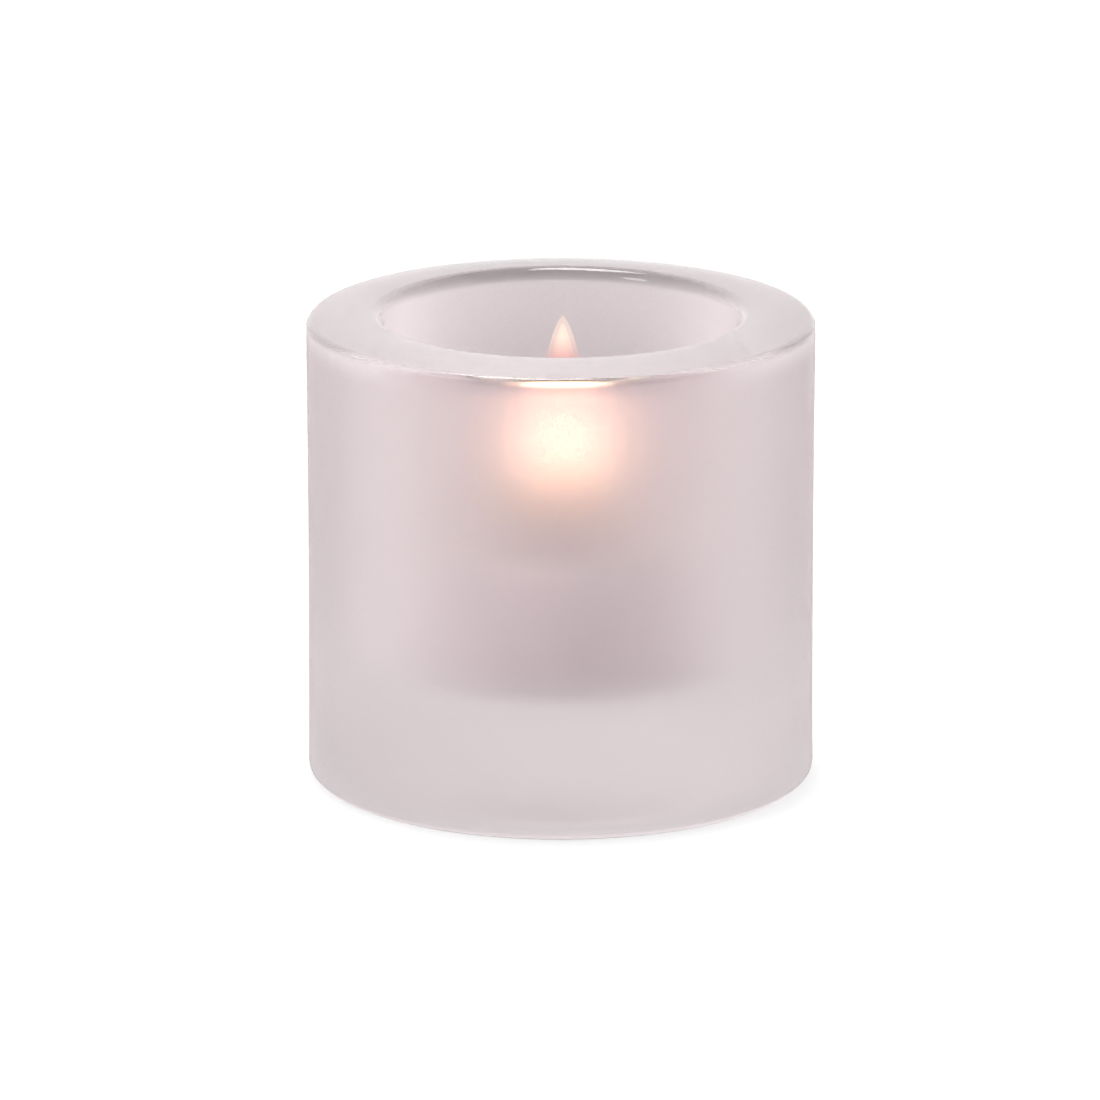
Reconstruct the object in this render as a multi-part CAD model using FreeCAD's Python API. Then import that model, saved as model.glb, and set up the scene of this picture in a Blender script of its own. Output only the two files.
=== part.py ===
import FreeCAD, Part
import math
import os

from FreeCAD import Vector

# A thick-walled glass holder with a lit tealight standing in its well.
# All lengths are in millimetres. The frame's origin is the middle of the
# underside, where the holder stands, and +Z is up along its axis.

# Glass holder, outside
body_height = 60.0
body_radius = 32.0          # at the foot and at the rim
waist_depth = 0.12          # how far the wall draws in halfway up
foot_edge_radius = 1.8
foot_ring_width = 6.0       # flat ring that stands on the table
foot_hollow_depth = 0.6     # shallow dome pressed into the underside
rim_edge_radius = 1.2       # outer edge of the rim
crown_radius = 38.0         # the rim's top arches down to its outer edge
lip_radius = 1.7            # rounded mouth of the well

# Glass holder, inside
base_thickness = 15.0       # from the table to the floor of the well
well_clearance = 2.5        # between the tealight and the wall, at the floor
well_draft = 1.1            # degrees that the wall leans out
floor_edge_radius = 3.0

# Tealight cup, pressed from thin sheet
cup_radius = 19.0           # over the curled rim
cup_height = 17.0
cup_sheet = 0.2
cup_draft = 1.5             # degrees that the wall leans out
cup_corner_radius = 1.2     # outside of the bend into the wall
curl_bore_radius = 0.35     # hollow inside the curled rim
curl_end_angle = -60.0      # where the curl stops, below the horizontal
bead_width = 1.2            # flat top of the bead round the wick holder
bead_slope = 0.5
bead_height = 0.5

# Wax
wax_gap = 0.15              # between the wax and the cup
wax_below_rim = 2.0         # from the cup's rim down to the wax
wax_corner_radius = 1.6
wax_edge_radius = 0.6
pool_ledge = 3.2            # solid wax left round the melted basin
pool_depth = 1.5

# Wick and its holder
wick_radius = 0.9
wick_exposed = 8.0          # height of the tip over the basin's bed
wick_bend_radius = 7.0
wick_bend_angle = 40.0      # degrees that the burning tip curls over
wick_tip_radius = 0.35
holder_disc_radius = 6.2
holder_sheet = 0.25
holder_tube_height = 4.5
holder_root_radius = 0.5
holder_clearance = 0.6      # between the disc and the bead that centres it
wick_gap = 0.02             # between the wick, its holder and the wax

# Heights that the pieces share
cup_floor = base_thickness
wax_floor = cup_floor + cup_sheet
cup_rim = cup_floor + cup_height
wax_top = cup_rim - wax_below_rim
pool_floor = wax_top - pool_depth
disc_top = wax_floor + holder_sheet


def at(r, z):
    """A point of a profile: radius from the axis, and height."""
    return Vector(r, 0, z)


def polar(centre, radius, degrees):
    """The point of a circle in the profile plane at an angle from +X."""
    a = math.radians(degrees)
    return at(centre.x + radius * math.cos(a), centre.z + radius * math.sin(a))


def line(a, b):
    return Part.LineSegment(a, b).toShape()


def arc(a, middle, b):
    return Part.Arc(a, middle, b).toShape()


def sweep(centre, radius, start, end):
    """An arc about centre from one angle to another, in degrees."""
    middle = (start + end) / 2
    points = [polar(centre, radius, d) for d in (start, middle, end)]
    return arc(*points)


def chain(points):
    return [line(a, b) for a, b in zip(points, points[1:])]


def turned(edges):
    """The solid that a closed half profile makes, turned about the Z axis."""
    face = Part.Face(Part.Wire(Part.__sortEdges__(edges)))
    solid = face.revolve(Vector(0, 0, 0), Vector(0, 0, 1), 360)
    if solid.ShapeType != "Solid":
        solid = Part.Solid(solid.Shells[0])
    return solid


def glass_holder():
    """One pressed piece: solid base, thick wall, polished rim and a well."""
    draft = math.radians(well_draft)
    floor_radius = cup_radius + well_clearance
    floor_corner = at(floor_radius - floor_edge_radius, base_thickness + floor_edge_radius)
    wall_foot = polar(floor_corner, floor_edge_radius, -well_draft)

    # The lip's circle touches the leaning wall and the level top of the rim.
    lip_height = body_height - lip_radius
    wall_at_lip = wall_foot.x + (lip_height - wall_foot.z) * math.tan(draft)
    lip = at(wall_at_lip + lip_radius / math.cos(draft), lip_height)
    wall_head = polar(lip, lip_radius, 180 - well_draft)

    # The rim's outer edge touches the crown from inside, and the outer wall.
    crown = at(lip.x, body_height - crown_radius)
    edge_x = body_radius - rim_edge_radius
    reach = crown_radius - rim_edge_radius
    edge = at(edge_x, crown.z + math.sqrt(reach ** 2 - (edge_x - crown.x) ** 2))
    edge_angle = math.degrees(math.atan2(edge.z - crown.z, edge.x - crown.x))

    foot = at(body_radius - foot_edge_radius, foot_edge_radius)
    ring_inner = foot.x - foot_ring_width
    hollow_curve = (ring_inner ** 2 + foot_hollow_depth ** 2) / (2 * foot_hollow_depth)
    hollow_centre = at(0, foot_hollow_depth - hollow_curve)
    hollow_edge = math.degrees(math.atan2(-hollow_centre.z, ring_inner))
    waist = at(body_radius - waist_depth, (foot.z + edge.z) / 2)

    return turned([
        sweep(hollow_centre, hollow_curve, 90, hollow_edge),
        line(at(ring_inner, 0), at(foot.x, 0)),
        sweep(foot, foot_edge_radius, -90, 0),
        arc(at(body_radius, foot.z), waist, at(body_radius, edge.z)),
        sweep(edge, rim_edge_radius, 0, edge_angle),
        sweep(crown, crown_radius, edge_angle, 90),
        sweep(lip, lip_radius, 90, 180 - well_draft),
        line(wall_head, wall_foot),
        sweep(floor_corner, floor_edge_radius, -well_draft, -90),
        line(at(floor_corner.x, base_thickness), at(0, base_thickness)),
        line(at(0, base_thickness), at(0, foot_hollow_depth)),
    ])


def cup_curl():
    """The middle of the cup's curled rim."""
    size = curl_bore_radius + cup_sheet
    return at(cup_radius - size, cup_rim - size)


def inside_wall(distance, z):
    """The point at a height that lies a distance in from the wall's outer face."""
    draft = math.radians(cup_draft)
    curl = cup_curl()
    inset = curl_bore_radius + distance - math.sin(draft) * (z - curl.z)
    return at(curl.x - inset / math.cos(draft), z)


def bead(level, gap):
    """The floor bead's section above a level, grown by a gap, from the axis side outwards."""
    foot = holder_disc_radius + holder_clearance - gap
    shoulder = foot + bead_slope
    far_shoulder = shoulder + bead_width + 2 * gap
    top = level + bead_height + gap
    return [
        at(foot, level), at(shoulder, top),
        at(far_shoulder, top), at(far_shoulder + bead_slope, level),
    ]


def tealight_cup():
    """Thin cup with a curled rim, and a raised bead in its floor."""
    curl = cup_curl()
    curl_size = curl_bore_radius + cup_sheet
    corner = inside_wall(cup_corner_radius, cup_floor + cup_corner_radius)
    inner_bend = cup_corner_radius - cup_sheet
    wall_side = 180 - cup_draft
    edges = chain([at(0, cup_floor)] + bead(cup_floor, 0) + [at(corner.x, cup_floor)])
    edges += chain([at(0, wax_floor)] + bead(wax_floor, 0) + [at(corner.x, wax_floor)])
    edges += [
        sweep(corner, cup_corner_radius, -90, -cup_draft),
        line(polar(corner, cup_corner_radius, -cup_draft), polar(curl, curl_bore_radius, wall_side)),
        sweep(curl, curl_bore_radius, wall_side, curl_end_angle),
        line(polar(curl, curl_bore_radius, curl_end_angle), polar(curl, curl_size, curl_end_angle)),
        sweep(curl, curl_size, curl_end_angle, wall_side),
        line(polar(curl, curl_size, wall_side), polar(corner, inner_bend, -cup_draft)),
        sweep(corner, inner_bend, -cup_draft, -90),
        line(at(0, cup_floor), at(0, wax_floor)),
    ]
    return turned(edges)


def wax():
    """The wax block, which fills the cup round the wick, its holder and the bead."""
    clear = cup_sheet + wax_gap
    corner = inside_wall(clear + wax_corner_radius, wax_floor + wax_corner_radius)
    shoulder = inside_wall(clear + wax_edge_radius, wax_top - wax_edge_radius)

    # The melted basin is a shallow dish, centred on the axis.
    pool_radius = shoulder.x - pool_ledge
    dish_radius = (pool_radius ** 2 + pool_depth ** 2) / (2 * pool_depth)
    dish = at(0, pool_floor + dish_radius)
    hole = wick_radius + wick_gap
    rim_angle = -math.degrees(math.acos(pool_radius / dish_radius))
    hole_angle = -math.degrees(math.acos(hole / dish_radius))
    hole_top = polar(dish, dish_radius, hole_angle)

    tube = hole + holder_sheet + wick_gap
    tube_top = disc_top + holder_tube_height + wick_gap
    root = tube + holder_root_radius
    disc = holder_disc_radius + wick_gap
    ceiling = disc_top + wick_gap
    edges = chain([
        hole_top, at(hole, tube_top), at(tube, tube_top), at(tube, ceiling + holder_root_radius),
        at(root, ceiling), at(disc, ceiling), at(disc, wax_floor),
    ])
    edges += chain([at(disc, wax_floor)] + bead(wax_floor, wax_gap) + [at(corner.x, wax_floor)])
    edges += [
        sweep(corner, wax_corner_radius, -90, -cup_draft),
        line(polar(corner, wax_corner_radius, -cup_draft), polar(shoulder, wax_edge_radius, -cup_draft)),
        sweep(shoulder, wax_edge_radius, -cup_draft, 90),
        line(at(shoulder.x, wax_top), at(pool_radius, wax_top)),
        sweep(dish, dish_radius, rim_angle, hole_angle),
    ]
    return turned(edges)


def wick_sustainer():
    """Stamped disc with a tube that grips the wick."""
    bore = wick_radius + wick_gap
    tube = bore + holder_sheet
    top = disc_top + holder_tube_height
    root = at(tube + holder_root_radius, disc_top + holder_root_radius)
    edges = chain([
        at(bore, wax_floor), at(holder_disc_radius, wax_floor),
        at(holder_disc_radius, disc_top), at(root.x, disc_top),
    ])
    edges.append(sweep(root, holder_root_radius, 270, 180))
    edges += chain([at(tube, root.z), at(tube, top), at(bore, top), at(bore, wax_floor)])
    return turned(edges)


def wick():
    """Braided cotton wick: upright in the wax, curled over at its burning end."""
    bend = math.radians(wick_bend_angle)
    straight = pool_floor + wick_exposed - wick_bend_radius * math.sin(bend) - wax_floor
    post = Part.makeCylinder(wick_radius, straight, at(0, wax_floor))
    section = Part.Face(Part.Wire(Part.makeCircle(wick_radius, at(0, wax_floor + straight))))
    pivot = at(wick_bend_radius, wax_floor + straight)
    tip = section.revolve(pivot, Vector(0, 1, 0), wick_bend_angle)
    whole = post.fuse(tip).removeSplitter()
    highest = max(whole.Edges, key=lambda e: e.BoundBox.Center.z)
    return whole.makeFillet(wick_tip_radius, [highest])


def main():
    os.makedirs("parts", exist_ok=True)
    for make in (glass_holder, tealight_cup, wax, wick_sustainer, wick):
        shape = make()
        solid = shape.Solids[0]
        print(make.__name__, "valid", solid.isValid(), "volume", round(solid.Volume, 2))
        solid.exportStep("parts/" + make.__name__ + ".step")


main()
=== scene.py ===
import math

import bpy
import numpy as np
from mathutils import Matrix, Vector


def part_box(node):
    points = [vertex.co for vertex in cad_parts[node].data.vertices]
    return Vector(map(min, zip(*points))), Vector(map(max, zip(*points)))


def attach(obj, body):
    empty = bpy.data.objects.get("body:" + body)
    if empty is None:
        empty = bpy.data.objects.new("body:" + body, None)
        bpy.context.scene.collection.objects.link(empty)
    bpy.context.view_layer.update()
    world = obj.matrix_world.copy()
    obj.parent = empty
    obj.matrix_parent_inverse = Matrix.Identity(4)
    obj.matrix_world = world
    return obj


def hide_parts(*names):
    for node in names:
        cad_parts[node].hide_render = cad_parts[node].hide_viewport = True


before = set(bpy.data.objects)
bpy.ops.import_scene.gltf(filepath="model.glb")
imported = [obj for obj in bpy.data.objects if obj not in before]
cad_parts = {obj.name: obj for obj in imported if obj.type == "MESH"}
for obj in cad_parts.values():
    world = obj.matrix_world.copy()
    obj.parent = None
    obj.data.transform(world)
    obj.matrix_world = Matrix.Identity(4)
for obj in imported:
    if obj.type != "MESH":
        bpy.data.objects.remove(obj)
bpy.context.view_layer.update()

# A thick frosted glass holder with a polished rim, and a lit tealight standing in its well.
# Metres throughout, in the CAD frame: the middle of the underside is the origin and +Z is up.

mm = 0.001
tau = 2 * math.pi
usual = (0.3, 0.7)       # noise mostly lies between these
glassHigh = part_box("glass_holder")[1]
cupLow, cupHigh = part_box("tealight_cup")
waxLow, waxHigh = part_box("wax")
sustainerLow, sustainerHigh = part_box("wick_sustainer")
wickLow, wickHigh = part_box("wick")


# Profiles are rows of (radius, height).

# a circle's points from one angle to another, in degrees from +radius
def arcPoints(centre, radius, start, end, count):
    a = np.radians(np.linspace(start, end, count))
    return np.column_stack([centre[0] + radius * np.cos(a), centre[1] + radius * np.sin(a)])


# one point of such a circle
def arcPoint(centre, radius, angle):
    return arcPoints(centre, radius, angle, angle, 1)[0]


# a straight run whose points crowd towards both ends: t = (1 - cos(pi k)) / 2
def runPoints(start, end, count):
    t = (1 - np.cos(math.pi * np.linspace(0, 1, count))) / 2
    return np.outer(1 - t, start) + np.outer(t, end)


# stretches one after another, without the points that fall on the one before
def joinProfile(*stretches):
    path = np.vstack(stretches)
    step = np.linalg.norm(np.diff(path, axis=0), axis=1)
    return path[np.append(True, step > 1e-7)]


# 0 below low, 1 above high and an S-curve between: 3t^2 - 2t^3
def ramp(value, low, high):
    t = np.clip((value - low) / (high - low), 0, 1)
    return t * t * (3 - 2 * t)


# points is rows x columns x 3, closed along the columns. loopRows closes it along the rows too,
# and startPole or endPole is the point that the first or last row closes to in a fan.
def surfaceMesh(name, points, loopRows=False, startPole=None, endPole=None):
    rows, columns = points.shape[:2]
    index = np.arange(rows * columns).reshape(rows, columns)
    lower = index if loopRows else index[:-1]
    upper = np.roll(index, -1, axis=0) if loopRows else index[1:]
    quads = np.stack([lower, np.roll(lower, -1, 1), np.roll(upper, -1, 1), upper], axis=-1)
    faces = quads.reshape(-1, 4).tolist()
    vertices = points.reshape(-1, 3)
    for pole, ring, ahead in ((startPole, index[0], True), (endPole, index[-1], False)):
        if pole is None:
            continue
        hub = np.full(columns, len(vertices))
        vertices = np.vstack([vertices, pole])
        onward = np.roll(ring, -1)
        sides = (onward, ring) if ahead else (ring, onward)
        faces += np.stack([hub, *sides], axis=-1).tolist()
    mesh = bpy.data.meshes.new(name)
    mesh.from_pydata(vertices.tolist(), [], faces)
    mesh.shade_smooth()
    piece = bpy.data.objects.new(name, mesh)
    bpy.context.scene.collection.objects.link(piece)
    return piece


# turns a profile about Z: (r cos u, r sin u, z). shape, if given, moves the grid first,
# as (u, r, z) -> (r, z).
def turnedPiece(name, profile, columns=256, loopRows=False, shape=None):
    u = np.arange(columns) * tau / columns
    onAxis = profile[:, 0] < 1e-9
    ends = {}
    if onAxis[0]:
        ends["startPole"] = np.array([[0, 0, profile[0, 1]]])
    if onAxis[-1]:
        ends["endPole"] = np.array([[0, 0, profile[-1, 1]]])
    ring = profile[~onAxis]
    r, angle = np.meshgrid(ring[:, 0], u, indexing="ij")
    z = np.repeat(ring[:, 1:], columns, axis=1)
    if shape:
        r, z = shape(angle, r, z)
    points = np.stack([r * np.cos(angle), r * np.sin(angle), z], axis=-1)
    return surfaceMesh(name, points, loopRows, **ends)


# Helpers for the materials' nodes.

def newMaterial(name):
    material = bpy.data.materials.new(name)
    material.use_nodes = True
    tree = material.node_tree
    return material, tree, tree.nodes["Principled BSDF"]


def setSockets(node, values):
    for socket, value in values.items():
        node.inputs[socket].default_value = value


def addNode(tree, kind, links=None, values=None, **settings):
    node = tree.nodes.new(kind)
    for key, value in settings.items():
        setattr(node, key, value)
    setSockets(node, values or {})
    for socket, source in (links or {}).items():
        tree.links.new(source, node.inputs[socket])
    return node


def mathNode(tree, operation, *inputs):
    node = tree.nodes.new("ShaderNodeMath")
    node.operation = operation
    for socket, value in zip(node.inputs, inputs):
        if isinstance(value, (int, float)):
            socket.default_value = value
        else:
            tree.links.new(value, socket)
    return node.outputs[0]


def objectPoint(tree):
    return addNode(tree, "ShaderNodeTexCoord").outputs["Object"]


def heightNode(tree, point):
    return addNode(tree, "ShaderNodeSeparateXYZ", {"Vector": point}).outputs["Z"]


# distance from the Z axis
def radiusNode(tree, point):
    split = addNode(tree, "ShaderNodeSeparateXYZ", {"Vector": point})
    level = addNode(tree, "ShaderNodeCombineXYZ",
                    {"X": split.outputs["X"], "Y": split.outputs["Y"]}).outputs[0]
    return addNode(tree, "ShaderNodeVectorMath", {"Vector": level},
                   operation="LENGTH").outputs["Value"]


def noiseNode(tree, point, scale, detail=2.0, roughness=0.5):
    node = addNode(tree, "ShaderNodeTexNoise", {"Vector": point},
                   {"Scale": scale, "Detail": detail, "Roughness": roughness})
    return node.outputs["Fac"]


# noise drawn out into lines along the axes whose share is small
def lineNoise(tree, point, shares, scale, detail):
    drawn = addNode(tree, "ShaderNodeMapping", {"Vector": point}, {"Scale": shares}).outputs[0]
    return noiseNode(tree, drawn, scale, detail)


# a number from one range to another
def rangeNode(tree, value, low, high, toLow=0.0, toHigh=1.0, kind="SMOOTHSTEP"):
    node = addNode(tree, "ShaderNodeMapRange", {"Value": value},
                   {"From Min": low, "From Max": high, "To Min": toLow, "To Max": toHigh},
                   interpolation_type=kind)
    return node.outputs["Result"]


def bumpNode(tree, height, distance, strength=1.0, before=None):
    links = {"Height": height}
    if before is not None:
        links["Normal"] = before
    node = addNode(tree, "ShaderNodeBump", links, {"Distance": distance, "Strength": strength})
    return node.outputs["Normal"]


def rampNode(tree, value, stops):
    node = addNode(tree, "ShaderNodeValToRGB", {"Fac": value})
    elements = node.color_ramp.elements
    while len(elements) < len(stops):
        elements.new(0.5)
    for element, (position, colour) in zip(elements, stops):
        element.position = position
        element.color = (*colour, 1)
    return node.outputs["Color"]


glass = {
    "footEdge": 1.8 * mm,        # rounding between the wall and the underside
    "footRing": 6.0 * mm,        # flat ring that it stands on
    "hollow": 0.6 * mm,          # shallow dome inside that ring
    "waist": 0.12 * mm,          # how far the wall draws in halfway up
    "rimEdge": 1.2 * mm,
    "crown": 38 * mm,            # radius of the arched rim
    "lip": 1.7 * mm,
    "wellGap": 2.5 * mm,         # between the tealight and the well at its floor
    "wellDraft": 1.1,            # degrees
    "floorEdge": 3.0 * mm,
    "midWall": 24 * mm,          # a radius between the well and the outside
    "frostTop": 1.15 * mm,       # the frosting stops this far under the rim
    "frostFoot": 0.9 * mm,       # and this far above the table
    "frostFade": 3.5 * mm,       # it grows weaker over this height below its upper edge
    "frostLeast": 0.34,          # roughness where it is weakest
    "tint": (0.80, 0.722, 0.738, 1),
    "bend": 1.5,                 # index of refraction
    "polish": (0.0, 0.03),       # roughness of the rim and the foot
    "satin": (0.44, 1.0),        # of the etched wall
    "drawn": (0.02, 0.06),       # and of the wall of the well
    "clouds": 60,                # scale of the roughness's patches on the clear faces
    "etchClouds": 12000,         # and on the etched wall
    "haze": 0.04,                # share of the light that the etching throws back
    "waves": 0.004 * mm,         # slow unevenness of the fire-polished faces
    "waveScale": 70,
    "grain": 0.002 * mm,         # fine grain of the etching
    "grainScale": 5200,
    "streaks": 0.03 * mm,        # upright streaks in the wall of the well
    "streakScale": 1400,
    "streakShares": (1, 1, 0.02),
}


def glassProfile():
    g = glass
    radius, height, base = glassHigh.x, glassHigh.z, cupLow.z
    draft = math.radians(g["wellDraft"])
    floorCorner = (cupHigh.x + g["wellGap"] - g["floorEdge"], base + g["floorEdge"])
    wallFoot = arcPoint(floorCorner, g["floorEdge"], -g["wellDraft"])
    lipHeight = height - g["lip"]
    wallAtLip = wallFoot[0] + (lipHeight - wallFoot[1]) * math.tan(draft)
    lip = (wallAtLip + g["lip"] / math.cos(draft), lipHeight)
    wallHead = arcPoint(lip, g["lip"], 180 - g["wellDraft"])

    # the rim's outer edge touches the crown from inside, and the outer wall
    crown = (lip[0], height - g["crown"])
    edgeX = radius - g["rimEdge"]
    reach = g["crown"] - g["rimEdge"]
    edge = (edgeX, crown[1] + math.sqrt(reach ** 2 - (edgeX - crown[0]) ** 2))
    edgeAngle = math.degrees(math.atan2(edge[1] - crown[1], edge[0] - crown[0]))

    foot = (radius - g["footEdge"], g["footEdge"])
    ringInner = foot[0] - g["footRing"]
    domeRadius = (ringInner ** 2 + g["hollow"] ** 2) / (2 * g["hollow"])
    dome = (0, g["hollow"] - domeRadius)
    domeEdge = math.degrees(math.atan2(-dome[1], ringInner))

    # the wall's waist: radius - waist * (1 - s^2), with s from -1 at the foot to 1 at the rim
    wall = runPoints((radius, foot[1]), (radius, edge[1]), 33)
    s = (wall[:, 1] - foot[1]) / (edge[1] - foot[1]) * 2 - 1
    wall[:, 0] -= g["waist"] * (1 - s ** 2)

    return joinProfile(
        arcPoints(dome, domeRadius, 90, domeEdge, 12),
        runPoints((ringInner, 0), (foot[0], 0), 6),
        arcPoints(foot, g["footEdge"], -90, 0, 25),
        wall,
        arcPoints(edge, g["rimEdge"], 0, edgeAngle, 23),
        arcPoints(crown, g["crown"], edgeAngle, 90, 17),
        arcPoints(lip, g["lip"], 90, 180 - g["wellDraft"], 27),
        runPoints(wallHead, wallFoot, 25),
        arcPoints(floorCorner, g["floorEdge"], -g["wellDraft"], -90, 25),
        runPoints((floorCorner[0], base), (0, base), 12),
    )


# tinted glass whose roughness comes from cloudy noise and whose normal comes from slow waves
def glassFinish(name, clouds, roughness):
    material, tree, surface = newMaterial(name)
    setSockets(surface, {"Base Color": glass["tint"], "IOR": glass["bend"],
                         "Transmission Weight": 1.0})
    point = objectPoint(tree)
    patches = rangeNode(tree, noiseNode(tree, point, clouds, 3), *usual, *roughness)
    tree.links.new(patches, surface.inputs["Roughness"])
    waves = bumpNode(tree, noiseNode(tree, point, glass["waveScale"], 1), glass["waves"])
    tree.links.new(waves, surface.inputs["Normal"])
    return {"material": material, "tree": tree, "surface": surface, "point": point,
            "patches": patches, "waves": waves}


def polishedMaterial():
    return glassFinish("polishedGlass", glass["clouds"], glass["polish"])["material"]


# the plunger leaves fine upright streaks in the well: noise drawn out along the height
def streakedMaterial():
    f = glassFinish("streakedGlass", glass["clouds"], glass["drawn"])
    lines = lineNoise(f["tree"], f["point"], glass["streakShares"], glass["streakScale"], 2)
    streaks = bumpNode(f["tree"], lines, glass["streaks"], before=f["waves"])
    f["tree"].links.new(streaks, f["surface"].inputs["Normal"])
    return f["material"]


# the etched wall spreads the light that it lets through, and throws a little back
def frostedMaterial():
    f = glassFinish("frostedGlass", glass["etchClouds"], glass["satin"])
    tree, surface = f["tree"], f["surface"]
    top = glassHigh.z - glass["frostTop"]
    fade = rangeNode(tree, heightNode(tree, f["point"]), top - glass["frostFade"], top)
    weaker = addNode(tree, "ShaderNodeMix", {"Factor": fade, "A": f["patches"]},
                     {"B": glass["frostLeast"]})
    tree.links.new(weaker.outputs[0], surface.inputs["Roughness"])
    setSockets(surface, {"Transmission Weight": 1 - glass["haze"]})
    grain = noiseNode(tree, f["point"], glass["grainScale"], 2)
    tree.links.new(bumpNode(tree, grain, glass["grain"], before=f["waves"]),
                   surface.inputs["Normal"])
    return f["material"]


# a face is frosted where it lies on the outside, between the foot's rounding and the rim's,
# streaked on the wall of the well, and polished elsewhere
def makeGlass():
    piece = turnedPiece("glass_body", glassProfile(), columns=448)
    for material in (polishedMaterial(), frostedMaterial(), streakedMaterial()):
        piece.data.materials.append(material)
    middles = np.empty(len(piece.data.polygons) * 3)
    piece.data.polygons.foreach_get("center", middles)
    x, y, z = middles.reshape(-1, 3).T
    r = np.hypot(x, y)
    etched = ((r > glassHigh.x - glass["footEdge"])
              & (z > glass["frostFoot"]) & (z < glassHigh.z - glass["frostTop"]))
    well = ((r < glass["midWall"])
            & (z > cupLow.z + glass["floorEdge"]) & (z < glassHigh.z - glass["lip"]))
    piece.data.polygons.foreach_set("material_index", etched + 2 * well)
    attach(piece, "holder")
    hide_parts("glass_holder")
    print("glass holder made")


cup = {
    "sheet": 0.2 * mm,
    "draft": 1.5,                # degrees
    "corner": 1.2 * mm,
    "curlBore": 0.35 * mm,
    "curlEnd": -60,              # degrees
    "bead": 6.8 * mm,            # where the bead in the floor starts, from the axis
    "beadSlope": 0.5 * mm,
    "beadTop": 1.2 * mm,
    "beadHeight": 0.5 * mm,
    "pleats": 56,                # shallow upright pleats from drawing the sheet
    "pleatDepth": 0.035 * mm,
    "pleatFoot": (1.5 * mm, 6.0 * mm),    # they fade in between these heights above the floor
    "pleatHead": (2.5 * mm, 1.2 * mm),    # and out between these depths below the rim
    "drawScale": 1500,           # fine lines drawn out along the height
    "drawShares": (1, 1, 0.06),
    "drawBump": (0.01 * mm, 0.6),         # depth and strength
    "drawRange": (0.25, 0.8),             # this range of the lines' noise
    "drawRough": (0.2, 0.38),             # gives this range of roughness
    "drawColours": [(0.38, (0.62, 0.62, 0.63)), (0.58, (0.98, 0.98, 0.98))],
    "dentScale": 180,
    "dentBump": (0.12 * mm, 0.5),
}


# the middle of the curl
def curlCentre():
    size = cup["curlBore"] + cup["sheet"]
    return cupHigh.x - size, cupHigh.z - size


# a point at a height, some distance in from the wall's outer face
def insideCup(distance, z):
    draft = math.radians(cup["draft"])
    curl = curlCentre()
    inset = cup["curlBore"] + distance - math.sin(draft) * (z - curl[1])
    return curl[0] - inset / math.cos(draft), z


# the bead's points at a level, grown by a gap
def beadPoints(level, gap=0.0):
    c = cup
    foot = c["bead"] - gap
    shoulder = foot + c["beadSlope"]
    farShoulder = shoulder + c["beadTop"] + 2 * gap
    top = level + c["beadHeight"] + gap
    corners = [(foot, level), (shoulder, top),
               (farShoulder, top), (farShoulder + c["beadSlope"], level)]
    return np.vstack([runPoints(a, b, 7) for a, b in zip(corners, corners[1:])])


# out along the underside, up the outer face, round the curl, and back down the inner face
def cupProfile():
    c = cup
    curl, size = curlCentre(), c["curlBore"] + c["sheet"]
    floor, inner = cupLow.z, cupLow.z + c["sheet"]
    corner = insideCup(c["corner"], floor + c["corner"])
    bend = c["corner"] - c["sheet"]
    side = 180 - c["draft"]
    under, over = beadPoints(floor), beadPoints(inner)
    outerFoot = arcPoint(corner, c["corner"], -c["draft"])
    outerHead = arcPoint(curl, c["curlBore"], side)
    innerHead = arcPoint(curl, size, side)
    innerFoot = arcPoint(corner, bend, -c["draft"])
    return joinProfile(
        runPoints((0, floor), under[0], 12), under, runPoints(under[-1], (corner[0], floor), 12),
        arcPoints(corner, c["corner"], -90, -c["draft"], 13),
        runPoints(outerFoot, outerHead, 33),
        arcPoints(curl, c["curlBore"], side, c["curlEnd"], 21),
        arcPoints(curl, size, c["curlEnd"], side, 31),
        runPoints(innerHead, innerFoot, 33),
        arcPoints(corner, bend, -c["draft"], -90, 13),
        runPoints((corner[0], inner), over[-1], 12), over[::-1], runPoints(over[0], (0, inner), 12),
    )


# pleats fade in over the wall: r + depth * window(z) * sin(pleats * u + a slow wander)
def pleatedWall(angle, r, z):
    low, lowFull = cup["pleatFoot"]
    highFull, high = cup["pleatHead"]
    window = (ramp(z, cupLow.z + low, cupLow.z + lowFull)
              * (1 - ramp(z, cupHigh.z - highFull, cupHigh.z - high)))
    wander = 1.3 * np.sin(3 * angle + 0.4) + 0.8 * np.sin(7 * angle + 2.1)
    return r + cup["pleatDepth"] * window * np.sin(cup["pleats"] * angle + wander), z


def cupMaterial():
    material, tree, surface = newMaterial("drawnAluminium")
    setSockets(surface, {"Metallic": 1.0})
    point = objectPoint(tree)
    lines = lineNoise(tree, point, cup["drawShares"], cup["drawScale"], 3)
    tree.links.new(rampNode(tree, lines, cup["drawColours"]), surface.inputs["Base Color"])
    tree.links.new(rangeNode(tree, lines, *cup["drawRange"], *cup["drawRough"]),
                   surface.inputs["Roughness"])
    dents = bumpNode(tree, noiseNode(tree, point, cup["dentScale"], 3), *cup["dentBump"])
    tree.links.new(bumpNode(tree, lines, *cup["drawBump"], dents), surface.inputs["Normal"])
    return material


def makeCup():
    piece = turnedPiece("drawn_cup", cupProfile(), columns=336, shape=pleatedWall)
    piece.data.materials.append(cupMaterial())
    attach(piece, "tealight")
    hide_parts("tealight_cup")
    print("tealight cup made")


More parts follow.
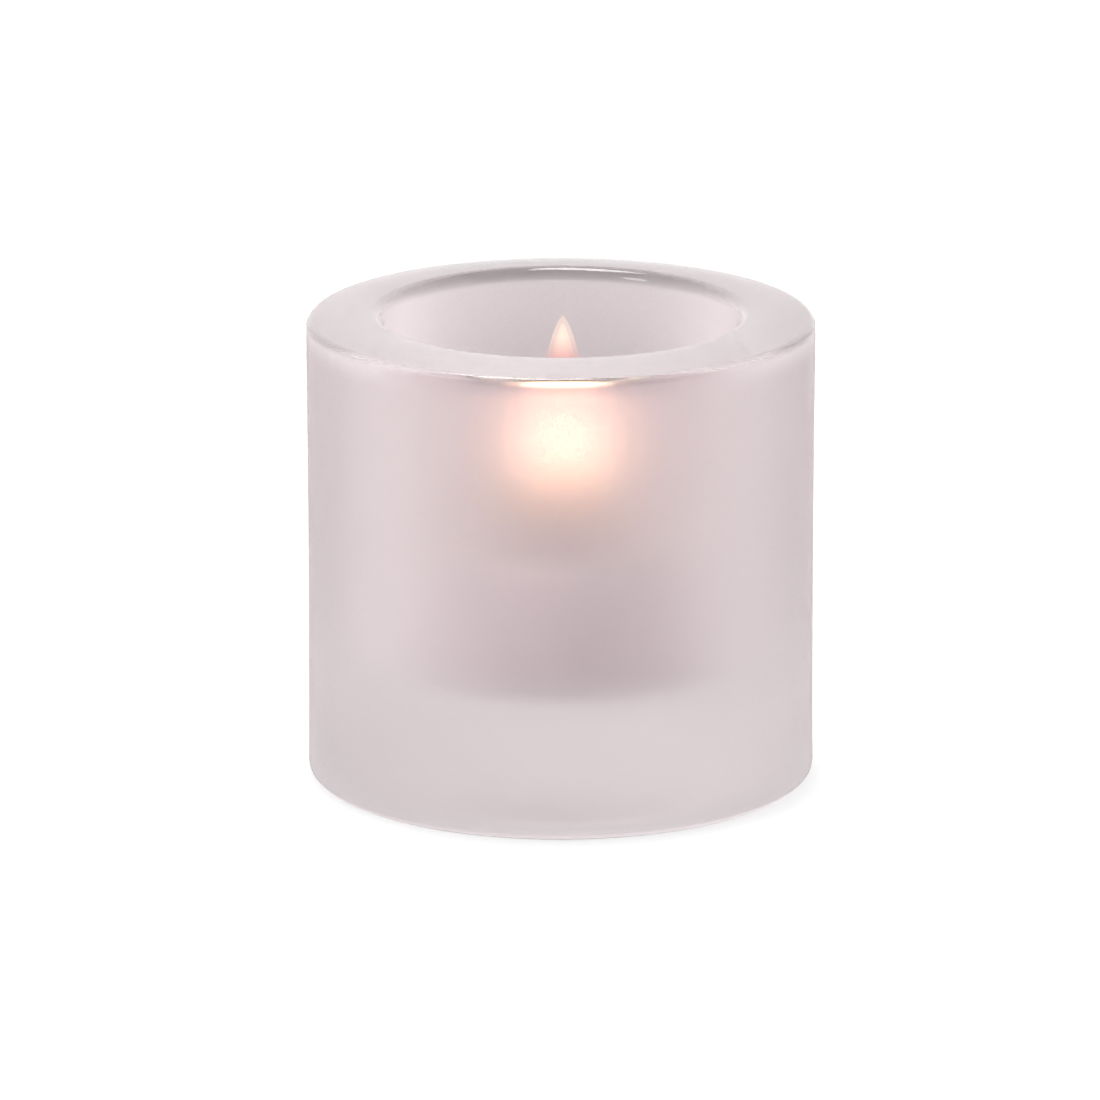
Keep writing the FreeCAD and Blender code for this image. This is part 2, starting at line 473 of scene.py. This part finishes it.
wax = {
    "gap": 0.15 * mm,            # between the wax and the cup
    "layGap": 0.02 * mm,         # keeps the candle's pieces just clear of the cup's floor
    "snugGap": 0.02 * mm,        # between the wax and the wick's holder
    "corner": 1.6 * mm,
    "shoulder": 0.6 * mm,
    "ledge": 3.2 * mm,           # solid ring left round the melted basin
    "basinDepth": 1.5 * mm,
    "hole": 0.92 * mm,           # round the wick
    "tube": 1.19 * mm,           # round the wick's holder
    "tubeRoot": 0.5 * mm,
    "disc": 6.22 * mm,
    "shoreWander": 0.55 * mm,    # how far the basin's edge strays from a circle
    "shoreReach": 1.7 * mm,      # and how far round the edge the wax strays with it
    "shoreSkin": (2.0 * mm, 0.8 * mm),    # it starts to stray between these depths
    "topWander": 0.12 * mm,      # unevenness of the solid ring
    "ringStart": (-0.5 * mm, 1.0 * mm),   # which grows between these distances from the edge
    "ringSkin": (0.2 * mm, 0.1 * mm),
    "colours": [(0.3, (0.74, 0.71, 0.65)), (0.7, (0.85, 0.83, 0.78))],
    "glowDepth": 3.5 * mm,       # how deep the light goes in
    "glowReach": (1.0, 0.72, 0.5),
    "glowShare": 0.85,
    "bend": 1.44,                # index of refraction
    "cloudScale": 240,
    "cloudBump": (0.15 * mm, 0.5),
    "crystalScale": 1400,
    "crystalBump": (0.02 * mm, 0.5),
    "crystalRange": (0.3, 0.75),
    "crystalRough": (0.28, 0.5),
}
pool = {
    "below": 0.35 * mm,          # liquid surface below the solid ring
    "meniscus": 0.22 * mm,
    "meniscusDrop": 0.6,         # share of it by which the flat liquid lies lower
    "shoreClimb": 0.8 * mm,      # the liquid climbs over this distance at the shore
    "wickClimb": 0.7 * mm,       # and over this one at the wick, where it climbs higher
    "wickRise": 1.6,
    "wickEdge": 0.8 * mm,        # it reaches a little into the wick
    "bedSink": 0.02 * mm,        # and into the wax below it
    "shoreSink": 0.1 * mm,       # and beside it
    "edge": 0.01 * mm,           # least thickness at the shore
    "followFrom": 3.5 * mm,      # it follows the wandering shore from this far inside
    "followFull": 0.5 * mm,      # to this far
    "colour": (0.97, 0.95, 0.90, 1),
    "bend": 1.43,                # index of refraction
    "rippleScale": 120,
    "rippleBump": (0.02 * mm, 0.3),
    "rippleRough": (0.0, 0.03),
}


# sum of a few sines round the axis, about -1 to 1
def wanderRound(angle, phase=0.0):
    return (0.5 * np.sin(2 * angle + 0.7 + phase) + 0.3 * np.sin(3 * angle + 2.9 - phase)
            + 0.22 * np.sin(5 * angle + 1.3) + 0.12 * np.sin(9 * angle + 4.2 + phase))


# the middle of the rounding at the wax's upper corner
def waxShoulder():
    return insideCup(cup["sheet"] + wax["gap"] + wax["shoulder"], waxHigh.z - wax["shoulder"])


# the basin's edge, before it wanders
def shoreRadius():
    return waxShoulder()[0] - wax["ledge"]


# the circle of the basin's bed: its middle, on the axis, and its radius
def basinBed():
    shore, depth = shoreRadius(), wax["basinDepth"]
    curve = (shore ** 2 + depth ** 2) / (2 * depth)
    return (0, waxHigh.z - depth + curve), curve


# the angle at which that circle reaches a radius, in degrees from +radius
def bedAngle(radius, curve):
    return -math.degrees(math.acos(radius / curve))


def waxProfile():
    w = wax
    floor, top = waxLow.z + w["layGap"], waxHigh.z
    shoulder, shore = waxShoulder(), shoreRadius()
    dish, curve = basinBed()
    corner = insideCup(cup["sheet"] + w["gap"] + w["corner"], floor + w["corner"])
    draft = cup["draft"]
    holeAngle = bedAngle(w["hole"], curve)
    discTop = sustainerLow.z + sustainer["sheet"] + w["snugGap"]
    tubeTop = sustainerHigh.z + w["snugGap"]
    bead = beadPoints(floor, w["gap"])
    wallFoot = arcPoint(corner, w["corner"], -draft)
    wallHead = arcPoint(shoulder, w["shoulder"], -draft)
    bore = [arcPoint(dish, curve, holeAngle), (w["hole"], tubeTop), (w["tube"], tubeTop),
            (w["tube"], discTop + w["tubeRoot"]), (w["tube"] + w["tubeRoot"], discTop),
            (w["disc"], discTop), (w["disc"], floor)]
    # the last point is dropped because the loop closes onto the first
    return joinProfile(
        *[runPoints(a, b, 6) for a, b in zip(bore, bore[1:])],
        runPoints(bore[-1], bead[0], 5), bead, runPoints(bead[-1], (corner[0], floor), 12),
        arcPoints(corner, w["corner"], -90, -draft, 13),
        runPoints(wallFoot, wallHead, 25),
        arcPoints(shoulder, w["shoulder"], -draft, 90, 13),
        runPoints((shoulder[0], top), (shore, top), 17),
        arcPoints(dish, curve, bedAngle(shore, curve), holeAngle, 49),
    )[:-1]


# the shore wanders in and out: r + wander * near * sines(u). The ring's top sags a little:
# z - wander * ring * (a half, a half of the sines, and near), where near and ring are windows
def wornTop(angle, r, z):
    shoulder, shore, top = waxShoulder(), shoreRadius(), waxHigh.z
    deep, shallow = wax["shoreSkin"]
    near = np.exp(-((r - shore) / wax["shoreReach"]) ** 2) * ramp(z, top - deep, top - shallow)
    before, beyond = wax["ringStart"]
    deep, shallow = wax["ringSkin"]
    ring = (ramp(r, shore + before, shore + beyond)
            * (1 - ramp(r, shoulder[0] - wax["shoulder"], shoulder[0]))
            * ramp(z, top - deep, top - shallow))
    sag = np.clip(0.5 + 0.5 * wanderRound(angle * 2, 1.1) + near, 0, 2)
    return r + wax["shoreWander"] * near * wanderRound(angle), z - wax["topWander"] * ring * sag


def waxMaterial():
    material, tree, surface = newMaterial("paraffin")
    setSockets(surface, {"Subsurface Weight": wax["glowShare"],
                         "Subsurface Radius": wax["glowReach"],
                         "Subsurface Scale": wax["glowDepth"], "IOR": wax["bend"]})
    point = objectPoint(tree)
    cloud = noiseNode(tree, point, wax["cloudScale"], 4, 0.6)
    crystal = noiseNode(tree, point, wax["crystalScale"], 3)
    tree.links.new(rampNode(tree, cloud, wax["colours"]), surface.inputs["Base Color"])
    tree.links.new(rangeNode(tree, crystal, *wax["crystalRange"], *wax["crystalRough"]),
                   surface.inputs["Roughness"])
    soft = bumpNode(tree, cloud, *wax["cloudBump"])
    tree.links.new(bumpNode(tree, crystal, *wax["crystalBump"], soft), surface.inputs["Normal"])
    return material


# liquid level: flat, and climbing as exp(-distance / reach) at the shore and at the wick
def poolProfile():
    p = pool
    dish, curve = basinBed()
    level = waxHigh.z - p["below"]
    edge = math.sqrt(curve ** 2 - (dish[1] - level) ** 2) + p["shoreSink"]
    bed = arcPoints((dish[0], dish[1] - p["bedSink"]), curve,
                    bedAngle(p["wickEdge"], curve), bedAngle(edge, curve), 33)
    r = runPoints((bed[-1, 0], 0), (p["wickEdge"], 0), 65)[:, 0]
    climb = (np.exp((r - r[0]) / p["shoreClimb"])
             + p["wickRise"] * np.exp((p["wickEdge"] - r) / p["wickClimb"]))
    top = np.column_stack([r, level + p["meniscus"] * (climb - p["meniscusDrop"])])
    top[0, 1] = max(top[0, 1], bed[-1, 1] + p["edge"])
    return joinProfile(bed, top)


# the liquid follows the wandering shore: r + wander * near * sines(u)
def poolShape(angle, r, z):
    shore = shoreRadius()
    near = ramp(r, shore - pool["followFrom"], shore - pool["followFull"])
    return r + wax["shoreWander"] * near * wanderRound(angle), z


def poolMaterial():
    material, tree, surface = newMaterial("meltedWax")
    setSockets(surface, {"Base Color": pool["colour"], "IOR": pool["bend"],
                         "Transmission Weight": 1.0})
    ripple = noiseNode(tree, objectPoint(tree), pool["rippleScale"], 1)
    tree.links.new(rangeNode(tree, ripple, *usual, *pool["rippleRough"]),
                   surface.inputs["Roughness"])
    tree.links.new(bumpNode(tree, ripple, *pool["rippleBump"]), surface.inputs["Normal"])
    return material


def makeWax():
    block = turnedPiece("wax_block", waxProfile(), columns=192, loopRows=True, shape=wornTop)
    block.data.materials.append(waxMaterial())
    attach(block, "candle")
    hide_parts("wax")
    liquid = turnedPiece("melt_pool", poolProfile(), columns=192, loopRows=True, shape=poolShape)
    liquid.data.materials.append(poolMaterial())
    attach(liquid, "candle")
    print("wax and pool made")


wick = {
    "radius": 0.9 * mm,
    "bendRadius": 7.0 * mm,
    "bendAngle": 40,             # degrees
    "tipTurn": 0.9,              # radians past the bend at which the rounded end is highest
    "braidPitch": 2.4 * mm,
    "braidDepth": 0.10 * mm,
    "burntFrom": 5 * mm,         # it grows thinner and lumpy from this far before its end
    "burntFull": 1 * mm,         # to this far
    "burntThinning": 0.10 * mm,
    "burntLumps": 0.06 * mm,
    "tipLength": 0.7 * mm,       # and closes as a dome over this length
    "tipClose": 0.92,            # share of the end's area that the dome closes
    "charFrom": 31.2 * mm,       # height where the cotton starts to brown
    "charTo": 33.0 * mm,
    "charWander": 2 * mm,
    "charColours": [(0.0, (0.70, 0.64, 0.52)), (0.35, (0.22, 0.14, 0.07)),
                    (0.8, (0.015, 0.012, 0.011))],
    "emberFrom": 36.2 * mm,
    "emberFade": 1 * mm,
    "emberLight": 2.5,
    "emberColours": [(0.0, (0, 0, 0)), (0.5, (0.5, 0.05, 0.005)), (1.0, (1.0, 0.25, 0.04))],
    "frayScale": 900,
    "frayRough": (0.7, 0.95),
    "fibreScale": 5000,
    "fibreBump": (0.05 * mm, 0.7),
}


# the wick's line: up to the bend, then round a circle that lies to +X of it
def wickLine(s):
    w = wick
    bend = math.radians(w["bendAngle"])
    straight = (wickHigh.z - wickLow.z - w["bendRadius"] * math.sin(bend)
                - w["radius"] * math.cos(bend + w["tipTurn"]))
    turn = np.clip((s - straight) / w["bendRadius"], 0, bend)
    up = np.maximum(np.minimum(s, straight), wax["layGap"])
    x = w["bendRadius"] * (1 - np.cos(turn))
    z = wickLow.z + up + w["bendRadius"] * np.sin(turn)
    return x, z, turn, straight + w["bendRadius"] * bend


# a tube round that line. Two crossing sets of strands stand out of it:
# r = radius - depth * (1 - max(|sin(2u + k s)|, |sin(2u - k s)|)), less the burnt end's thinning,
# and the end closes by sqrt(1 - close * t^2)
def makeWick():
    w = wick
    columns, rows = 48, 320
    length = wickLine(np.zeros(1))[3]
    s = np.linspace(0, length, rows)
    x, z, turn, length = wickLine(s)
    u = np.arange(columns) * tau / columns
    along, angle = np.meshgrid(s, u, indexing="ij")
    k = math.pi / w["braidPitch"]
    strands = np.maximum(np.abs(np.sin(2 * angle + k * along)),
                         np.abs(np.sin(2 * angle - k * along)))
    r = w["radius"] - w["braidDepth"] * (1 - strands)
    burnt = ramp(along, length - w["burntFrom"], length - w["burntFull"])
    lumps = (0.5 * np.sin(5 * angle + 9 * along / mm)
             + 0.5 * np.sin(3 * angle - 5.3 * along / mm + 1))
    r = r - burnt * (w["burntThinning"] + w["burntLumps"] * lumps)
    tip = ramp(along, length - w["tipLength"], length)
    r = r * np.sqrt(np.clip(1 - tip ** 2 * w["tipClose"], 0, 1))
    side = np.stack([np.cos(turn), 0 * turn, -np.sin(turn)], axis=-1)[:, None, :]
    across = np.array([0.0, 1.0, 0.0])
    centre = np.stack([x, 0 * x, z], axis=-1)[:, None, :]
    outward = np.cos(angle)[..., None] * side + np.sin(angle)[..., None] * across
    piece = surfaceMesh("braided_wick", centre + r[..., None] * outward,
                        startPole=centre[0], endPole=centre[-1])
    piece.data.materials.append(wickMaterial())
    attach(piece, "candle")
    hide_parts("wick")
    print("wick made")


# pale cotton that browns and chars with height, along an uneven line, and glows at its end
def wickMaterial():
    w = wick
    material, tree, surface = newMaterial("braidedCotton")
    point = objectPoint(tree)
    fray = noiseNode(tree, point, w["frayScale"], 3)
    shift = mathNode(tree, "MULTIPLY", mathNode(tree, "SUBTRACT", fray, 0.5), w["charWander"])
    uneven = mathNode(tree, "ADD", heightNode(tree, point), shift)
    burnt = rangeNode(tree, uneven, w["charFrom"], w["charTo"], kind="LINEAR")
    tree.links.new(rampNode(tree, burnt, w["charColours"]), surface.inputs["Base Color"])
    tree.links.new(rangeNode(tree, fray, *usual, *w["frayRough"]), surface.inputs["Roughness"])
    fibres = noiseNode(tree, point, w["fibreScale"], 3)
    tree.links.new(bumpNode(tree, fibres, *w["fibreBump"]), surface.inputs["Normal"])
    ember = rangeNode(tree, uneven, w["emberFrom"], w["emberFrom"] + w["emberFade"])
    tree.links.new(rampNode(tree, ember, w["emberColours"]), surface.inputs["Emission Color"])
    setSockets(surface, {"Emission Strength": w["emberLight"]})
    return material


sustainer = {
    "sheet": 0.25 * mm,
    "bore": 0.92 * mm,
    "root": 0.5 * mm,
    "edge": 0.08 * mm,           # rounding of the disc's edge
    "crimp": 0.05 * mm,
    "crimpFrom": 1.4 * mm,       # the crimps grow from this height above its underside
    "crimpFull": 2.4 * mm,       # to this one
    "rollScale": 2600,           # lines left by the rolling
    "rollShares": (0.08, 1, 1),
    "rollBump": (0.01 * mm, 0.6),
    "rollRough": (0.25, 0.42),
    "colours": [(0.3, (0.50, 0.50, 0.49)), (0.7, (0.64, 0.63, 0.61))],
}


def sustainerProfile():
    s = sustainer
    floor, discTop = sustainerLow.z + wax["layGap"], sustainerLow.z + s["sheet"]
    bore, tube, top = s["bore"], s["bore"] + s["sheet"], sustainerHigh.z
    root = (tube + s["root"], discTop + s["root"])
    lower = (sustainerHigh.x - s["edge"], floor + s["edge"])
    upper = (sustainerHigh.x - s["edge"], discTop - s["edge"])
    # the last point is dropped because the loop closes onto the first
    return joinProfile(
        runPoints((bore, floor), (lower[0], floor), 14),
        arcPoints(lower, s["edge"], -90, 0, 5), arcPoints(upper, s["edge"], 0, 90, 5),
        runPoints((upper[0], discTop), (root[0], discTop), 14),
        arcPoints(root, s["root"], 270, 180, 9),
        runPoints((tube, root[1]), (tube, top), 14),
        runPoints((tube, top), (bore, top), 4),
        runPoints((bore, top), (bore, floor), 17),
    )[:-1]


# four crimps squeeze the tube onto the wick: r - crimp * cos(2u)^8 up the tube
def crimpedTube(angle, r, z):
    s = sustainer
    up = ramp(z, sustainerLow.z + s["crimpFrom"], sustainerLow.z + s["crimpFull"])
    return r - s["crimp"] * up * np.cos(2 * angle) ** 8, z


def steelMaterial():
    s = sustainer
    material, tree, surface = newMaterial("tinnedSteel")
    setSockets(surface, {"Metallic": 1.0})
    lines = lineNoise(tree, objectPoint(tree), s["rollShares"], s["rollScale"], 3)
    tree.links.new(rampNode(tree, lines, s["colours"]), surface.inputs["Base Color"])
    tree.links.new(rangeNode(tree, lines, *usual, *s["rollRough"]), surface.inputs["Roughness"])
    tree.links.new(bumpNode(tree, lines, *s["rollBump"]), surface.inputs["Normal"])
    return material


def makeSustainer():
    piece = turnedPiece("stamped_sustainer", sustainerProfile(), columns=96, loopRows=True,
                        shape=crimpedTube)
    piece.data.materials.append(steelMaterial())
    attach(piece, "candle")
    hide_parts("wick_sustainer")
    print("sustainer made")


flame = {
    "base": 34.4 * mm,
    "tip": 59.4 * mm,
    "radius": 4.2 * mm,
    "rise": 0.5,                 # how low the widest part sits
    "round": 0.65,
    "baseLean": 0.95 * mm,       # the foot sits on the curled end of the wick
    "stemLean": 0.25 * mm,
    "leanFade": 4 * mm,
    "baseStep": 2.2 * mm,        # how much shorter a shell of no size would be, below
    "tipStep": 4.0 * mm,         # and above
}
# the see-through shells that make the flame, and the core that lights the glass from inside,
# which shows only through the glass
shellStops = [
    (0.0, (0.13, 0.20, 0.66)), (0.14, (1.3, 0.6, 0.3)), (0.30, (1.1, 0.85, 0.45)),
    (0.52, (1.05, 0.66, 0.40)), (0.66, (0.99, 0.475, 0.462)), (0.78, (0.825, 0.449, 0.436)),
    (0.90, (1.25, 0.93, 0.78)), (1.0, (1.1, 0.85, 0.70)),
]
coreStops = [
    (0.0, (0.02, 0.03, 0.10)), (0.18, (0.20, 0.10, 0.05)), (0.32, (0.80, 0.52, 0.34)),
    (0.42, (1.0, 0.67, 0.49)), (0.52, (0.88, 0.57, 0.43)), (0.64, (0.30, 0.17, 0.14)),
    (1.0, (0.0, 0.0, 0.0)),
]
flameShells = [
    {"size": 1.0, "girth": 1.0, "alpha": 0.30, "light": 1.0, "stops": shellStops, "bare": True},
    {"size": 0.98, "girth": 1.4, "alpha": 1.0, "light": 4.9, "stops": coreStops, "bare": False},
    {"size": 0.74, "girth": 1.0, "alpha": 0.45, "light": 1.0, "stops": shellStops, "bare": True},
    {"size": 0.55, "girth": 1.0, "alpha": 0.85, "light": 1.0, "stops": shellStops, "bare": True},
]


# r = radius * sin(pi t^rise)^round over the height, about a line that leans from the wick's
# curled end towards the axis
def flameShell(size, girth):
    f = flame
    rows, columns = 90, 48
    t = (1 - np.cos(math.pi * np.linspace(0, 1, rows + 2)[1:-1])) / 2
    r = f["radius"] * size * girth * np.sin(math.pi * t ** f["rise"]) ** f["round"]
    low = f["base"] + (1 - size) * f["baseStep"]
    high = f["tip"] - (1 - size) * f["tipStep"]
    z = low + (high - low) * t
    sway = np.exp(-(z - f["base"]) / f["leanFade"])
    lean = f["stemLean"] + (f["baseLean"] - f["stemLean"]) * sway
    u = np.arange(columns) * tau / columns
    points = np.stack([lean[:, None] + r[:, None] * np.cos(u), r[:, None] * np.sin(u),
                       np.repeat(z[:, None], columns, 1)], axis=-1)
    return points, np.array([[lean[0], 0, low]]), np.array([[lean[-1], 0, high]])


def flameMaterial(shell, index):
    material, tree, surface = newMaterial("flame" + str(index))
    along = rangeNode(tree, heightNode(tree, objectPoint(tree)), flame["base"], flame["tip"],
                      kind="LINEAR")
    setSockets(surface, {"Base Color": (0, 0, 0, 1), "Roughness": 1.0, "Specular IOR Level": 0.0,
                         "Alpha": shell["alpha"], "Emission Strength": shell["light"]})
    tree.links.new(rampNode(tree, along, shell["stops"]), surface.inputs["Emission Color"])
    return material


def makeFlame():
    for index, shell in enumerate(flameShells, 1):
        points, low, high = flameShell(shell["size"], shell["girth"])
        piece = surfaceMesh("flame_shell_" + str(index), points, startPole=low, endPole=high)
        piece.data.materials.append(flameMaterial(shell, index))
        piece.visible_camera = shell["bare"]
        piece.visible_glossy = False         # no bright ghost of it in the wall behind
        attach(piece, "candle")
    print("flame made")


stage = {
    "floorSize": 12.0,
    "floorPaint": (0.3, 0.3, 0.3, 1),
    "floorLight": 0.84,          # the table's own glow far from the holder
    "glowReach": 120 * mm,       # the glow's stops run from the axis to this radius
    # painted shadow: the table's glow dims to a painted contact shadow under and round the holder's
    # foot, and rises again under its middle as a painted caustic
    "paintedShadowStops": [(0.0, 1.0), (0.12, 0.90), (0.20, 0.44), (0.25, 0.78), (0.30, 0.98), (1.0, 1.0)],
    "sky": 0.96,                 # how bright the room is
    "skyLeft": 0.25,             # and how much brighter on the left
    "skyBack": 0.15,             # and at the back
}
# a dark card that lies behind the holder as a painted shadow on the floor there, and shows only in
# and
# through the glass: it gives the clear lip its dark edge
paintedShadowCard = {
    "from": 0.060, "to": 0.240, "half": 0.046, "lift": 0.0005,
    "paint": (0.02, 0.02, 0.02, 1), "glow": 0.12,
}
softboxes = [
    {"name": "topBox", "at": (-0.10, 0.28, 1.05), "size": (0.42, 0.40), "glare": 11.0},
    {"name": "leftBox", "at": (-0.80, -0.56, 0.78), "size": (0.30, 0.34), "glare": 7.0},
]
view = {"distance": 1.2, "elevation": 15.45, "lens": 310.8, "shift": (-0.0098, -0.0079)}


def flatSheet(name, left, right, front, back, height):
    mesh = bpy.data.meshes.new(name)
    corners = [(left, front, height), (right, front, height),
               (right, back, height), (left, back, height)]
    mesh.from_pydata(corners, [], [(0, 1, 2, 3)])
    sheet = bpy.data.objects.new(name, mesh)
    bpy.context.scene.collection.objects.link(sheet)
    return sheet


# matt paint that gives off some light of its own, without being sampled as a lamp
def glowingPaint(name, paint, light):
    material, tree, surface = newMaterial(name)
    setSockets(surface, {"Base Color": paint, "Roughness": 0.9, "Specular IOR Level": 0.0,
                         "Emission Color": (1, 1, 1, 1), "Emission Strength": light})
    material.cycles.emission_sampling = "NONE"
    return material, tree, surface


def makeFloor():
    half = stage["floorSize"] / 2
    floor = flatSheet("floor", -half, half, -half, half, 0)
    material, tree, surface = glowingPaint("paleTableWithPaintedShadow", stage["floorPaint"], stage["floorLight"])
    # the glow's ramp paints a contact shadow round the holder's foot and a caustic under its middle
    outwards = rangeNode(tree, radiusNode(tree, objectPoint(tree)), 0, stage["glowReach"],
                         kind="LINEAR")
    glow = rampNode(tree, outwards, [(place, (grey,) * 3) for place, grey in stage["paintedShadowStops"]])
    tree.links.new(glow, surface.inputs["Emission Color"])
    floor.data.materials.append(material)


def makePaintedShadowCard():
    c = paintedShadowCard
    # the painted shadow: a black sheet that only the glass sees
    card = flatSheet("painted_shadow_card", -c["half"], c["half"], c["from"], c["to"], c["lift"])
    card.data.materials.append(glowingPaint("paintedShadowBlack", c["paint"], c["glow"])[0])
    card.visible_camera = False
    card.visible_shadow = False
    card.visible_diffuse = False


# the room's light: sky - left * x + back * y over the directions
def makeRoom():
    world = bpy.data.worlds.new("studio")
    bpy.context.scene.world = world
    world.use_nodes = True
    room = world.node_tree
    direction = addNode(room, "ShaderNodeTexCoord").outputs["Generated"]
    way = addNode(room, "ShaderNodeSeparateXYZ", {"Vector": direction})
    sideways = mathNode(room, "MULTIPLY", way.outputs["X"], -stage["skyLeft"])
    backwards = mathNode(room, "MULTIPLY", way.outputs["Y"], stage["skyBack"])
    strength = mathNode(room, "ADD", mathNode(room, "ADD", sideways, backwards), stage["sky"])
    room.links.new(strength, room.nodes["Background"].inputs["Strength"])
    setSockets(room.nodes["Background"], {"Color": (1, 1, 1, 1)})


def makeStage():
    makeFloor()
    makePaintedShadowCard()
    makeRoom()
    print("stage made")


# a lamp's power is its glare times pi times its area
def makeLights():
    middle = Vector((0, 0, glassHigh.z / 2))
    for box in softboxes:
        width, depth = box["size"]
        light = bpy.data.lights.new(box["name"], "AREA")
        light.shape = "RECTANGLE"
        light.size, light.size_y = width, depth
        light.energy = box["glare"] * math.pi * width * depth
        lamp = bpy.data.objects.new(box["name"], light)
        lamp.location = box["at"]
        lamp.rotation_euler = (middle - lamp.location).to_track_quat("-Z", "Y").to_euler()
        bpy.context.scene.collection.objects.link(lamp)
    print("lights made")


def makeCamera():
    data = bpy.data.cameras.new("camera")
    data.sensor_width = 36
    data.lens = view["lens"]
    data.shift_x, data.shift_y = view["shift"]
    data.clip_end = 50
    camera = bpy.data.objects.new("camera", data)
    middle = Vector((0, 0, glassHigh.z / 2))
    tilt = math.radians(view["elevation"])
    away = Vector((0, -math.cos(tilt), math.sin(tilt)))
    camera.location = middle + away * view["distance"]
    camera.rotation_euler = (-away).to_track_quat("-Z", "Y").to_euler()
    bpy.context.scene.collection.objects.link(camera)
    bpy.context.scene.camera = camera
    bpy.context.scene.view_settings.view_transform = "Standard"
    print("camera placed")


makeCamera()
makeStage()
makeLights()
makeGlass()
makeCup()
makeWax()
makeWick()
makeSustainer()
makeFlame()
